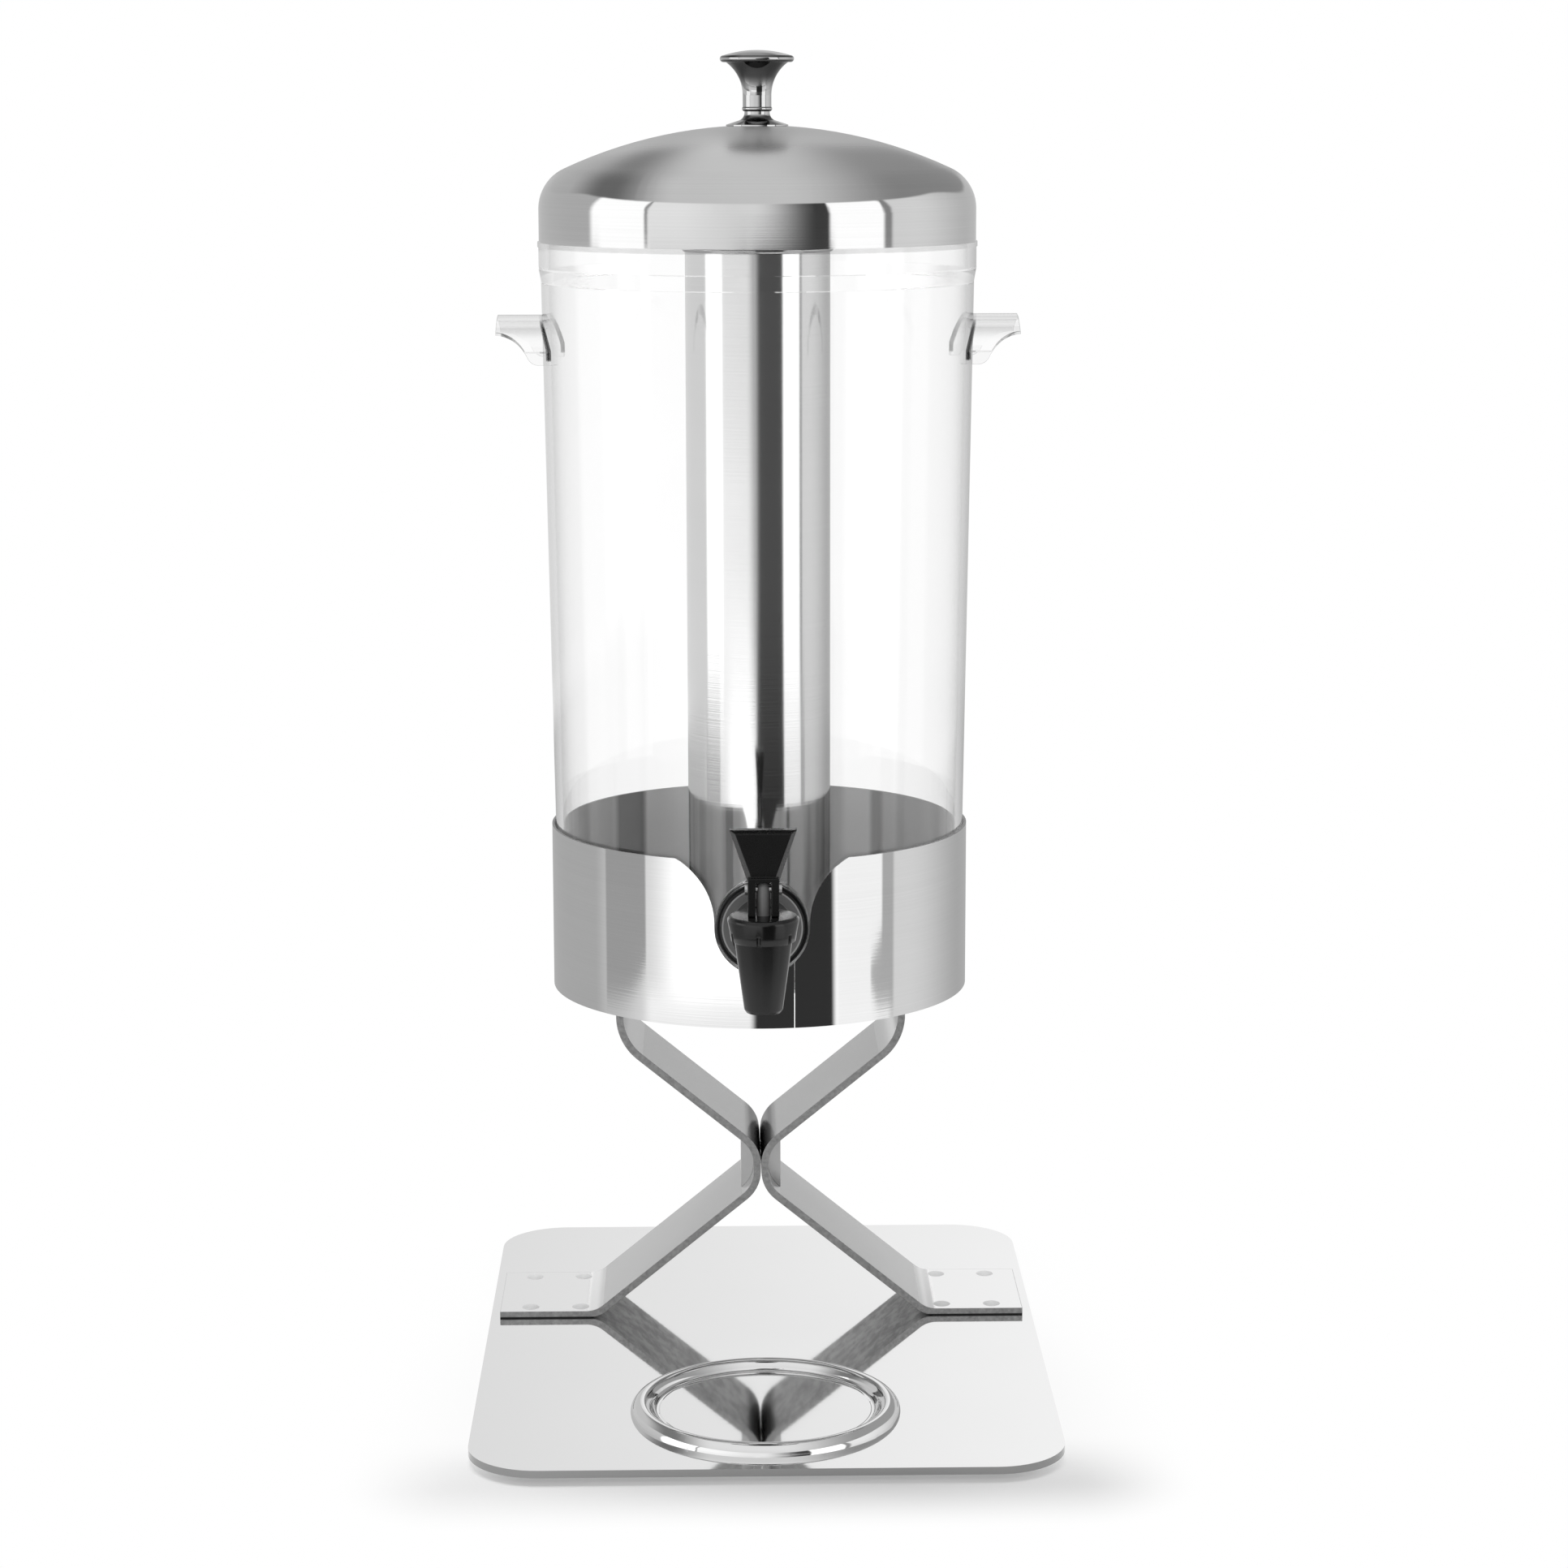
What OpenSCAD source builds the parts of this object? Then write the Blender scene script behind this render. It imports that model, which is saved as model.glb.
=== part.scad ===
// Juice dispenser: a clear tapered container with a central ice tube and a domed steel lid.
// It stands in a sheet-metal collar on two bent flat bars over a polished base plate.
// Sizes are in millimetres. The feet stand on Z = 0, the front is -Y and the origin is under
// the middle of the base plate.

/* [Base plate] */
// Width of the base plate, left to right
plate_w = 231; // [228:1:260]
// Depth of the base plate, front to back
plate_d = 310; // [300:1:340]
// Thickness of the base plate
plate_t = 3; // [2:0.5:6]
// Radius of the plate's corners
plate_corner_r = 28; // [10:1:40]
// Distance of the column's axis behind the middle of the plate
column_y = 52; // [40:1:60]
// Diameter of each rubber foot
pad_d = 18; // [12:1:24]
// Height of each rubber foot
pad_h = 2; // [1.5:0.5:8]
// Distance from the plate's edges to the middle of a rubber foot
pad_inset = 26; // [16:1:40]

/* [Drip dish] */
// Radius of the drip dish over its bead
dish_r = 53.5; // [45:0.5:60]
// Distance of the dish's middle in front of the column's axis
dish_reach = 142; // [130:1:150]
// Radius of the half-round bead
dish_bead_r = 4.5; // [3:0.5:7]
// Thickness of the dish's sheet
dish_t = 0.8; // [0.5:0.1:1.5]
// Radius of the hollow between the bead and the floor
dish_cove_r = 3; // [1:0.5:6]

/* [Legs] */
// Width of the flat bar
strip_w = 54; // [46:1:60]
// Thickness of the flat bar
strip_t = 3; // [2:0.5:4]
// Distance of a foot's end from the middle
foot_reach = 111.5; // [105:0.5:113]
// Slope of the arms above the horizontal, in degrees
arm_angle = 39.2; // [36:0.2:42]
// Height of the waist above the plate
waist_h = 65.9; // [60:0.1:72]
// Length of the straight stretch at the waist
waist_flat = 3; // [1:0.5:6]
// Gap between the two bars at the waist
waist_gap = 0.2; // [0.1:0.1:1]
// Outer radius of the bends at the waist
waist_bend_r = 16; // [12:1:18]
// Outer radius of the bend at a foot
foot_bend_r = 14; // [8:1:18]
// Outer radius of the bend at the top
top_bend_r = 24; // [18:1:28]
// Distance of a bar's outermost point under the collar from the middle
top_reach = 60.8; // [56:0.2:66]
// Length of the flat flange at the top
flange_l = 26; // [20:1:30]
// Depth of the clamp blocks, front to back
block_d = 30; // [22:1:44]
// Distance of a clamp block's outer face from the middle
block_reach = 8.4; // [7:0.2:10]

/* [Rivets and screws] */
// Diameter of the rivets' shanks
rivet_d = 4; // [3:0.5:5]
// Diameter of the rivets' heads
rivet_head_d = 7.4; // [6:0.2:9]
// Height of the rivets' heads
rivet_head_h = 0.9; // [0.5:0.1:1.2]
// Distance of the middle of a foot's rivets from the middle of the plate
foot_rivet_x = 88; // [84:0.5:92]
// Spacing of a foot's rivets, left to right
foot_rivet_pitch_x = 21.4; // [16:0.2:24]
// Spacing of a foot's rivets, front to back
foot_rivet_pitch_y = 41.4; // [30:0.2:44]
// Spacing of a flange's rivets, front to back
flange_rivet_pitch = 32; // [24:1:40]
// Distance of the flanges' rivets from the middle
flange_rivet_x = 24; // [20:0.5:28]
// Diameter of the clamp screws
clamp_screw_d = 4; // [3:0.5:5]
// Spacing of the clamp screws, front to back
clamp_screw_pitch = 16; // [10:1:20]

/* [Collar] */
// Outer radius of the collar
collar_r = 87.6; // [87:0.1:90]
// Thickness of the collar's sheet
collar_t = 1; // [0.6:0.1:1.4]
// Height of the collar
collar_h = 69; // [60:1:80]
// Depth of the collar's hem below its floor
collar_drop = 14.2; // [10:0.2:20]
// Thickness of the collar's floor
floor_t = 1.5; // [1:0.1:3]
// Gap of the butt seam in the collar
seam_gap = 0.4; // [0.2:0.1:1]
// Distance of the seam to the right of the middle
seam_x = 13; // [10:1:16]
// Width of the notch for the tap
notch_w = 38.6; // [38.2:0.2:44]
// Distance of the notch's round bottom centre below the tap's axis
notch_below_tap = 1.5; // [0:0.5:4]
// Radius of the notch's flared mouth
notch_flare_r = 29.5; // [20:0.5:34]
// Width of the notch's mouth at the collar's edge
notch_mouth_w = 70; // [60:1:76]

/* [Container] */
// Height of the container from its foot to its rim
container_h = 296.4; // [270:0.2:340]
// Outer radius at the foot
foot_r = 85.2; // [84:0.1:85.6]
// Outer radius under the stepped rim
shoulder_r = 89.3; // [88.8:0.1:89.6]
// Outer radius of the band under the rim
band_r = 90.2; // [90:0.1:91]
// Height of the band with its step
band_h = 16; // [12:0.5:24]
// Height of the band's step
step_h = 5; // [3:0.5:8]
// Outer radius of the rim
rim_r = 90.6; // [90.2:0.1:92]
// Thickness of the rim
rim_t = 2; // [1.5:0.1:4]
// Thickness of the wall
wall_t = 2.8; // [2:0.1:3.4]
// Thickness of the floor
container_floor_t = 4; // [3:0.5:6]
// Height of the foot ring
foot_ring_h = 3; // [2.4:0.2:5]
// Width of the foot ring
foot_ring_w = 8; // [5:0.5:12]
// Height of the lip that locates the lid
lip_h = 5; // [3:0.5:8]

/* [Handles] */
// Distance of a handle's tip from the column's axis
handle_reach = 107.3; // [100:0.1:112]
// Height of a handle's top below the rim
handle_drop = 30; // [24:0.5:60]
// Height of a handle at the wall
handle_h = 19; // [15:0.5:24]
// Width of a handle
handle_w = 56; // [44:1:64]
// Radius of a handle's arched top
handle_arch_r = 36; // [34:1:50]
// Thickness of a handle's wall
handle_t = 2.4; // [1.8:0.1:3.5]
// Depth of a handle's lip at its tip
handle_lip_h = 7.2; // [5:0.2:9]

/* [Ice tube] */
// Outer diameter of the ice tube
tube_d = 60; // [50:1:70]
// Thickness of the tube's wall
tube_t = 0.9; // [0.6:0.1:1.5]
// Distance of the tube's top below the container's rim
tube_drop = 1.2; // [1:0.2:30]
// Depth of the socket under the tube's base
socket_h = 6; // [5.5:0.5:12]
// Radius of the rolled rim of the tube
tube_bead_r = 1.3; // [1:0.1:2]

/* [Lid] */
// Outer radius of the lid
lid_r = 90; // [89.8:0.1:90.4]
// Height of the lid from its hem to the crown
lid_h = 47; // [40:0.2:56]
// Thickness of the lid's sheet
lid_t = 1; // [0.6:0.1:1.2]
// Radius of the lid's dome
dome_r = 190; // [160:5:260]
// Radius of the lid's shoulder
lid_shoulder_r = 18; // [12:1:24]
// Height of the knob
knob_h = 30.2; // [28:0.2:40]
// Radius of the knob's rim
knob_rim_r = 15.2; // [13:0.2:18]
// Radius of the knob's neck
knob_neck_r = 5.9; // [5:0.1:6.6]
// Radius of the knob's foot
knob_foot_r = 12.8; // [11:0.2:15]
// Diameter of the knob's screw
knob_screw_d = 4; // [3:0.5:5]

/* [Tap] */
// Height of the tap's axis above the container's foot
tap_h = 27; // [26:0.2:29]
// Radius of the boss around the tap's hole
boss_r = 18.6; // [17:0.1:18.8]
// Distance of the boss in front of the container's wall
boss_proud = 1; // [0.6:0.1:2]
// Thickness of the gaskets
gasket_t = 2; // [1:0.2:3]
// Radius of the tap's flange
tap_flange_r = 18.4; // [16:0.1:18.6]
// Thickness of the tap's flange
tap_flange_t = 3.4; // [2.5:0.1:5]
// Radius of the hub behind the spout
hub_r = 12.3; // [11:0.1:13]
// Radius of the threaded shank
shank_r = 8; // [7:0.2:9]
// Distance of the spout's axis in front of the column's axis
spout_reach = 122; // [120:1:130]
// Height of the spout's end below the tap's axis
spout_drop = 27; // [26:0.1:32]
// Radius of the spout's end
spout_end_r = 7.7; // [7:0.1:9]
// Radius of the spout's top
spout_top_r = 11.5; // [11.3:0.1:12]
// Height of the bonnet
bonnet_h = 10.2; // [9:0.2:14]
// Radius of the bonnet
bonnet_r = 14.2; // [13.6:0.1:15]
// Number of grip ribs on the bonnet
bonnet_ribs = 12; // [6:1:16]
// Radius of the valve's stem
stem_r = 2.7; // [2.2:0.1:3]
// Height of the lever's pin above the bonnet
pin_h = 10.5; // [8:0.1:12]
// Diameter of the lever's pin
pin_d = 3; // [2.4:0.2:3.4]
// Height of the lever's top above its pin
lever_h = 23.6; // [20:0.2:32]
// Width of the lever's top
lever_w = 26.4; // [20:0.2:32]
// Width of the lever's fork
fork_w = 12.2; // [11:0.2:14]
// Depth of the lever's fork, front to back
fork_d = 10.4; // [8:0.2:11]
// Thickness of the lever's paddle
paddle_t = 6; // [4:0.5:7]

/* [Clearances] */
// Gap around fixed fasteners and bonded or pressed pieces
fit_gap = 0.05; // [0.02:0.01:0.1]
// Gap between pieces that lift apart
lift_gap = 0.4; // [0.3:0.05:0.6]
// Radial gap of sliding and turning shafts
run_gap = 0.08; // [0.04:0.01:0.1]
// Gap between soft or resting pieces of the tap
rest_gap = 0.3; // [0.2:0.05:0.5]

/* [Hidden] */
$fn = 96;
cut = 1;

// Heights of the base
plate_top = pad_h + plate_t;

// Left bar, followed from its foot to its top flange: heights and places of its bends
waist_tangent = waist_bend_r * tan((90 - arm_angle) / 2);
low_corner_h = waist_h - waist_flat / 2 - waist_tangent;
high_corner_h = waist_h + waist_flat / 2 + waist_tangent;
top_inner_r = top_bend_r - strip_t;
top_centre_x = top_bend_r - top_reach;
top_centre_h = high_corner_h
  + (top_inner_r - sin(arm_angle) * (top_centre_x + waist_gap / 2)) / cos(arm_angle);
flange_under_h = top_centre_h + top_inner_r;
// Sharp corners of the bar's right-hand face, before its bends are rounded
leg_path = [
  [-foot_reach, plate_top],
  [-waist_gap / 2 - low_corner_h / tan(arm_angle), plate_top],
  [-waist_gap / 2, plate_top + low_corner_h],
  [-waist_gap / 2, plate_top + high_corner_h],
  [-waist_gap / 2 - (flange_under_h - high_corner_h) / tan(arm_angle), plate_top + flange_under_h],
  [top_centre_x + flange_l, plate_top + flange_under_h]
];
// Radius of the right-hand face at each corner, negative where the bar turns right
leg_bends = [0, foot_bend_r, waist_bend_r, waist_bend_r, -top_inner_r, 0];
// Arcs are eased by this much, so that they cross their straight runs instead of touching them
ease = 0.005;

// Heights of the collar and the container
floor_under = plate_top + flange_under_h + strip_t;
floor_top = floor_under + floor_t;
collar_z = floor_under - collar_drop;
collar_top = collar_z + collar_h;
collar_in_r = collar_r - collar_t;
rim_top = floor_top + container_h;
container_floor = foot_ring_h + container_floor_t;
shoulder_h = container_h - band_h;
lip_out_r = lid_r - lid_t - lift_gap;
lip_in_r = lip_out_r - wall_t + lift_gap;

// The tube's places
tube_r = tube_d / 2;
tube_in_r = tube_r - tube_t;
tube_z = floor_top + container_floor;
tube_l = rim_top - tube_drop - tube_z;
spigot_r = tube_in_r - lift_gap;
spigot_h = socket_h - cut;

// The lid's dome: its centre, its shoulder and the height of its crown
crown_z = rim_top + lid_h;
dome_z = crown_z - dome_r;
lid_shoulder_x = lid_r - lid_shoulder_r;
lid_shoulder_z = dome_z + sqrt(pow(dome_r - lid_shoulder_r, 2) - pow(lid_shoulder_x, 2));

// The knob's profile: rim, neck and bead
knob_top = crown_z + knob_h;
knob_crown_h = 2.1;
knob_edge_r = 1.4;
knob_edge_x = knob_rim_r - knob_edge_r;
knob_edge_z = knob_top - knob_crown_h - knob_edge_r;
knob_dip = knob_crown_h + ease;
knob_crown_r = (pow(knob_edge_x, 2) + pow(knob_dip, 2)) / (2 * knob_dip);
knob_neck_z = crown_z + 12;
knob_flare_rise = knob_edge_z - knob_edge_r / 2 - knob_neck_z;
knob_flare_run = knob_edge_x - knob_neck_r;
knob_flare_r = (pow(knob_flare_run, 2) + pow(knob_flare_rise, 2)) / (2 * knob_flare_run);
knob_bead_z = knob_neck_z - 5.4;
knob_bead_r = 1.1;
// The knob's foot: a low cone on the dome, with a cove up to the waist
knob_foot_t = 0.6;
knob_foot_angle = 18;
knob_foot_z = dome_z + sqrt(pow(dome_r, 2) - pow(knob_foot_r, 2));
knob_foot_top = knob_foot_z + knob_foot_t;
knob_waist_r = knob_neck_r - 0.7;
knob_cove_r = 3.4;
knob_cove_x = knob_waist_r + knob_cove_r * (1 - sin(knob_foot_angle));
knob_cove_z = knob_foot_top + knob_cove_r / cos(knob_foot_angle)
  + (knob_foot_r - knob_waist_r - knob_cove_r) * tan(knob_foot_angle);
knob_bore_l = 11;
knob_washer_r = 7;
knob_washer_t = 1;

// The tap's places, measured from the column's axis towards the front
tap_z = floor_top + tap_h;
wall_r = foot_r + (shoulder_r - foot_r) * tap_h / shoulder_h;
boss_in = sqrt(pow(wall_r - wall_t, 2) - pow(boss_r, 2)) - fit_gap;
boss_out = wall_r + boss_proud;
flange_back = boss_out + gasket_t;
flange_front = flange_back + tap_flange_t;
nut_front = boss_in - gasket_t;
nut_l = 7;
nut_r = 14;
shank_end = nut_front - nut_l - 3.5;
shank_bore_r = shank_r - 3;

// The tap's heights
bonnet_z = tap_z + 1.8;
bonnet_top = bonnet_z + bonnet_h;
bonnet_lid_t = 2.6;
bonnet_skirt_h = 3.6;
bonnet_skirt_r = spout_top_r + 1.1;
bonnet_wall = 1.2;
thread_r = bonnet_skirt_r - bonnet_wall - fit_gap;
barrel_top = bonnet_top - bonnet_lid_t - 2;
chamber_r = thread_r - 2.9;
outlet_r = spout_end_r - 2.6;
seat_z = tap_z - 16;
seat_h = chamber_r - outlet_r;
chamber_z = seat_z + seat_h;
neck_r = 7.4;
neck_z = bonnet_z - neck_r - rest_gap;
neck_bore_r = neck_r - 3;
spout_end_z = tap_z - spout_drop;
hub_front = spout_reach - bonnet_r - 1.5;

// The lever's places
pin_z = bonnet_top + pin_h;
stem_top = pin_z + 3;
fork_low = bonnet_top + rest_gap;
fork_slot_w = 2 * (stem_r + lift_gap);
fork_slot_top = stem_top + lift_gap;
fork_top = fork_slot_top + 1.6;
pin_head_d = pin_d + 1.8;
pin_head_t = 1.1;
bevel_side = 2.2;
bevel_top = 1.2;

// The handles' profile
handle_top = rim_top - handle_drop;
handle_low = handle_top - handle_h;
handle_cove_r = 15.3;
handle_heel_r = 5;
handle_cove_x = handle_reach + 0.6;
handle_cove_z = handle_top - handle_lip_h - handle_cove_r;
handle_heel_z = handle_low + handle_heel_r;
handle_heel_x = handle_cove_x
  - sqrt(pow(handle_cove_r + handle_heel_r, 2) - pow(handle_heel_z - handle_cove_z, 2));
handle_heel_end_z = handle_heel_z
  - handle_heel_r * (handle_heel_z - handle_cove_z) / (handle_cove_r + handle_heel_r);

// Unit normal to the left of the bar's run after a corner
function run_normal(i) =
  let (d = leg_path[i + 1] - leg_path[i])
  [-d.y, d.x] / norm(d);

// A corner of the bar's path, moved to the left by an offset
function path_point(i, s) =
  let (
    first = i == 0,
    last = i == len(leg_path) - 1,
    a = run_normal(first ? 0 : i - 1),
    b = run_normal(last ? i - 1 : i)
  )
  leg_path[i] + s * (a + b) / (1 + a * b);

// The region a bend takes up, from its centre out to an offset line
module bend_kite(i, s) {
  r = leg_bends[i];
  centre = path_point(i, r);
  enter = centre + (s - r) * run_normal(i - 1);
  leave = centre + (s - r) * run_normal(i);
  polygon([centre, r > 0 ? enter : leave, path_point(i, s), r > 0 ? leave : enter]);
}

// The left bar's outline in the X-Z plane, between two offsets to the left of its right-hand face
module leg_outline(low, high) {
  last = len(leg_path) - 1;
  difference() {
    union() {
      polygon([
        for (i = [0:last]) path_point(i, low),
        for (i = [last:-1:0]) path_point(i, high)
      ]);
      for (i = [1:last - 1]) bend_kite(i, (low + high) / 2);
    }
    for (i = [1:last - 1]) {
      r = leg_bends[i];
      outer = r > 0 ? low : high;
      inner = r > 0 ? high : low;
      translate(path_point(i, r)) circle(r = abs(r - inner) + ease);
      difference() {
        bend_kite(i, outer + (r > 0 ? -cut : cut));
        translate(path_point(i, r)) circle(r = abs(r - outer) + ease);
      }
    }
  }
}

// Stands an X-Z outline up and centres it on the column, front to back
module upright(depth) {
  translate([0, column_y + depth / 2, 0]) rotate([90, 0, 0]) linear_extrude(depth) children();
}

// Puts its child at each rivet of the feet on one side
module at_foot_rivets(side) {
  for (i = [-1, 1], j = [-1, 1])
    translate([
      side * (foot_rivet_x + i * foot_rivet_pitch_x / 2),
      column_y + j * foot_rivet_pitch_y / 2,
      0
    ]) children();
}

// Puts its child at each rivet of one top flange
module at_flange_rivets(side) {
  for (j = [-1, 1])
    translate([side * flange_rivet_x, column_y + j * flange_rivet_pitch / 2, 0]) children();
}

// Puts its child at each clamp screw, with the child's axis along X
module at_clamp_screws() {
  for (j = [-1, 1])
    translate([0, column_y + j * clamp_screw_pitch / 2, plate_top + waist_h])
      rotate([0, 90, 0]) children();
}

// A round plate from one height to another
module disc(r, from, to) {
  translate([0, 0, from]) cylinder(r = r, h = to - from);
}

// A low domed rivet head above Z = 0
module rivet_head() {
  ball_r = (pow(rivet_head_d / 2, 2) + pow(rivet_head_h, 2)) / (2 * rivet_head_h);
  intersection() {
    translate([0, 0, rivet_head_h - ball_r]) sphere(r = ball_r);
    cylinder(d = rivet_head_d + cut, h = rivet_head_h + cut);
  }
}

// A rivet through a stack from one height to another, headed at both ends
module rivet(from, to) {
  disc(rivet_d / 2, from, to);
  translate([0, 0, to]) rivet_head();
  translate([0, 0, from]) mirror([0, 0, 1]) rivet_head();
}

// Everything on the column's axis is made at the origin and moved back here
module on_column() {
  translate([0, column_y, 0]) children();
}

// A ring or rod around the tap's axis, from one distance in front of the column to another
module tap_disc(r, from, to, z = tap_z) {
  translate([0, -from, z]) rotate([90, 0, 0]) cylinder(r = r, h = to - from);
}

module base_plate() {
  x = plate_w / 2 - plate_corner_r;
  y = plate_d / 2 - plate_corner_r;
  color("gainsboro") difference() {
    union() {
      translate([-plate_w / 2, -y, pad_h]) cube([plate_w, 2 * y, plate_t]);
      translate([-x, -plate_d / 2, pad_h]) cube([2 * x, plate_d, plate_t]);
      for (i = [-1, 1], j = [-1, 1])
        translate([i * x, j * y, 0]) disc(plate_corner_r, pad_h, plate_top);
    }
    for (side = [-1, 1])
      at_foot_rivets(side) disc(rivet_d / 2 + fit_gap, pad_h - cut, plate_top + cut);
  }
}

module rubber_feet() {
  edge = pad_h / 4;
  color("dimgray")
    for (i = [-1, 1], j = [-1, 1])
      translate([i * (plate_w / 2 - pad_inset), j * (plate_d / 2 - pad_inset), 0])
        rotate_extrude() polygon([
          [0, 0], [pad_d / 2 - edge, 0], [pad_d / 2, edge], [pad_d / 2, pad_h], [0, pad_h]
        ]);
}

module leg() {
  difference() {
    upright(strip_w) leg_outline(0, strip_t);
    at_foot_rivets(-1) disc(rivet_d / 2 + fit_gap, plate_top - cut, plate_top + strip_t + cut);
    at_flange_rivets(-1) disc(rivet_d / 2 + fit_gap, floor_under - strip_t - cut, floor_under + cut);
    at_clamp_screws() disc(clamp_screw_d / 2 + fit_gap, -block_reach, block_reach);
  }
}

module left_leg() {
  color("silver") leg();
}

module right_leg() {
  color("silver") mirror([1, 0, 0]) leg();
}

module foot_rivets() {
  color("gainsboro")
    for (side = [-1, 1])
      at_foot_rivets(side) rivet(pad_h, plate_top + strip_t);
}

// The block that fills the hollow of the waist's bend on the left
module clamp_block() {
  difference() {
    upright(block_d) difference() {
      translate([-block_reach, plate_top + waist_h - waist_bend_r])
        square([block_reach, 2 * waist_bend_r]);
      leg_outline(-top_inner_r / 2, strip_t + fit_gap);
    }
    at_clamp_screws() disc(clamp_screw_d / 2 + fit_gap, -block_reach - cut, block_reach + cut);
  }
}

module left_clamp_block() {
  color("darkgray") clamp_block();
}

module right_clamp_block() {
  color("darkgray") mirror([1, 0, 0]) clamp_block();
}

module clamp_screws() {
  color("gray") at_clamp_screws() disc(clamp_screw_d / 2, -block_reach, block_reach);
}

module collar_floor() {
  color("silver") on_column() difference() {
    disc(collar_in_r - fit_gap, floor_under, floor_top);
    translate([0, -column_y, 0])
      for (side = [-1, 1])
        at_flange_rivets(side) disc(rivet_d / 2 + fit_gap, floor_under - cut, floor_top + cut);
  }
}

// The notch: a round-bottomed slot with a flared mouth, in the X-Z plane
module notch_outline() {
  half = notch_w / 2;
  notch_z = tap_z - notch_below_tap;
  flare_x = half + notch_flare_r;
  flare_h = sqrt(pow(notch_flare_r, 2) - pow(flare_x - notch_mouth_w / 2, 2));
  flare_z = collar_top - flare_h;
  translate([0, notch_z]) circle(r = half);
  translate([-half, notch_z]) square([notch_w, collar_top - notch_z + cut]);
  difference() {
    translate([-flare_x, flare_z]) square([2 * flare_x, flare_h + cut]);
    for (side = [-1, 1])
      translate([side * flare_x, flare_z]) circle(r = notch_flare_r);
  }
}

module collar() {
  color("silver") on_column() difference() {
    disc(collar_r, collar_z, collar_top);
    disc(collar_in_r, collar_z - cut, collar_top + cut);
    rotate([90, 0, 0]) linear_extrude(collar_r + cut) notch_outline();
    translate([seam_x - seam_gap / 2, -collar_r - cut, collar_z - cut])
      cube([seam_gap, collar_r, tap_z - collar_z + cut]);
  }
}

module flange_rivets() {
  color("gainsboro")
    for (side = [-1, 1])
      at_flange_rivets(side) rivet(floor_under - strip_t, floor_top);
}

// Half the dish's section: a bead, and a floor with a hollow rising to the bead
module dish_section() {
  sink = dish_t / 10;
  bead_x = dish_r - dish_bead_r;
  cove_z = dish_t + dish_cove_r - sink;
  cove_x = bead_x + sink - sqrt(pow(dish_bead_r + dish_cove_r, 2) - pow(cove_z, 2));
  difference() {
    union() {
      intersection() {
        translate([bead_x, 0]) circle(r = dish_bead_r);
        square([dish_r + cut, dish_bead_r + cut]);
      }
      difference() {
        polygon([[0, 0], [bead_x, 0], [cove_x, cove_z], [0, cove_z]]);
        translate([cove_x, cove_z]) circle(r = dish_cove_r);
        translate([-cut, dish_t]) square([cove_x + cut, dish_bead_r + dish_cove_r]);
      }
    }
    translate([bead_x, 0]) circle(r = dish_bead_r - dish_t);
  }
}

module drip_dish() {
  color("gainsboro") translate([0, column_y - dish_reach, plate_top])
    rotate_extrude() dish_section();
}

// The tapered wall, floor and rim, turned about the column's axis
module container_shell() {
  edge = foot_ring_h / 2;
  rotate_extrude() translate([0, floor_top]) polygon([
    [0, foot_ring_h], [foot_r - foot_ring_w, foot_ring_h], [foot_r - foot_ring_w, 0],
    [foot_r - edge, 0], [foot_r, edge],
    [shoulder_r, shoulder_h], [band_r, shoulder_h + step_h], [band_r, container_h - rim_t],
    [rim_r, container_h - rim_t], [rim_r, container_h],
    [lip_out_r, container_h], [lip_out_r, container_h + lip_h], [lip_in_r, container_h + lip_h],
    [shoulder_r - wall_t, shoulder_h], [foot_r - wall_t, container_floor], [0, container_floor]
  ]);
}

module container() {
  color([0.9, 0.95, 1, 0.35]) on_column() difference() {
    union() {
      container_shell();
      tap_disc(boss_r, boss_in, boss_out);
    }
    tap_disc(shank_r + fit_gap, boss_in - cut, boss_out + cut);
  }
}

// Round block on the container's floor that centres the ice tube
module tube_spigot() {
  color([0.9, 0.95, 1, 0.35]) on_column() disc(spigot_r, tube_z, tube_z + spigot_h);
}

// A handle's outline seen from the front
module handle_profile() {
  difference() {
    translate([wall_r / 2, handle_low]) square([handle_reach - wall_r / 2, handle_h]);
    translate([handle_cove_x, handle_cove_z]) circle(r = handle_cove_r);
    difference() {
      translate([handle_heel_x, handle_low - cut])
        square([handle_reach, handle_heel_end_z - handle_low + cut]);
      translate([handle_heel_x, handle_heel_z]) circle(r = handle_heel_r);
    }
  }
}

// A handle's arch seen from the side, drawn in by a wall thickness
module handle_arch(inset) {
  intersection() {
    translate([0, handle_top - handle_arch_r]) circle(r = handle_arch_r - inset);
    translate([inset - handle_w / 2, handle_low - cut])
      square([handle_w - 2 * inset, handle_h + 2 * cut]);
  }
}

// The right-hand handle: an arched hood cut to its profile and to the container's wall
module handle() {
  on_column() difference() {
    intersection() {
      translate([0, handle_w, 0])
        rotate([90, 0, 0]) linear_extrude(2 * handle_w) handle_profile();
      rotate([90, 0, 90]) linear_extrude(handle_reach + cut) difference() {
        handle_arch(0);
        handle_arch(handle_t);
      }
    }
    rotate_extrude() translate([0, floor_top]) polygon([
      [0, 0], [foot_r + fit_gap, 0], [shoulder_r + fit_gap, shoulder_h], [0, shoulder_h]
    ]);
  }
}

module left_handle() {
  color([0.9, 0.95, 1, 0.35]) mirror([1, 0, 0]) handle();
}

module right_handle() {
  color([0.9, 0.95, 1, 0.35]) handle();
}

module ice_tube() {
  color("silver") on_column() translate([0, 0, tube_z]) rotate_extrude() difference() {
    union() {
      translate([tube_in_r, 0]) square([tube_t, tube_l - tube_bead_r]);
      translate([tube_r, tube_l - tube_bead_r]) circle(r = tube_bead_r);
    }
    square([tube_in_r, tube_l + cut]);
  }
}

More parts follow.
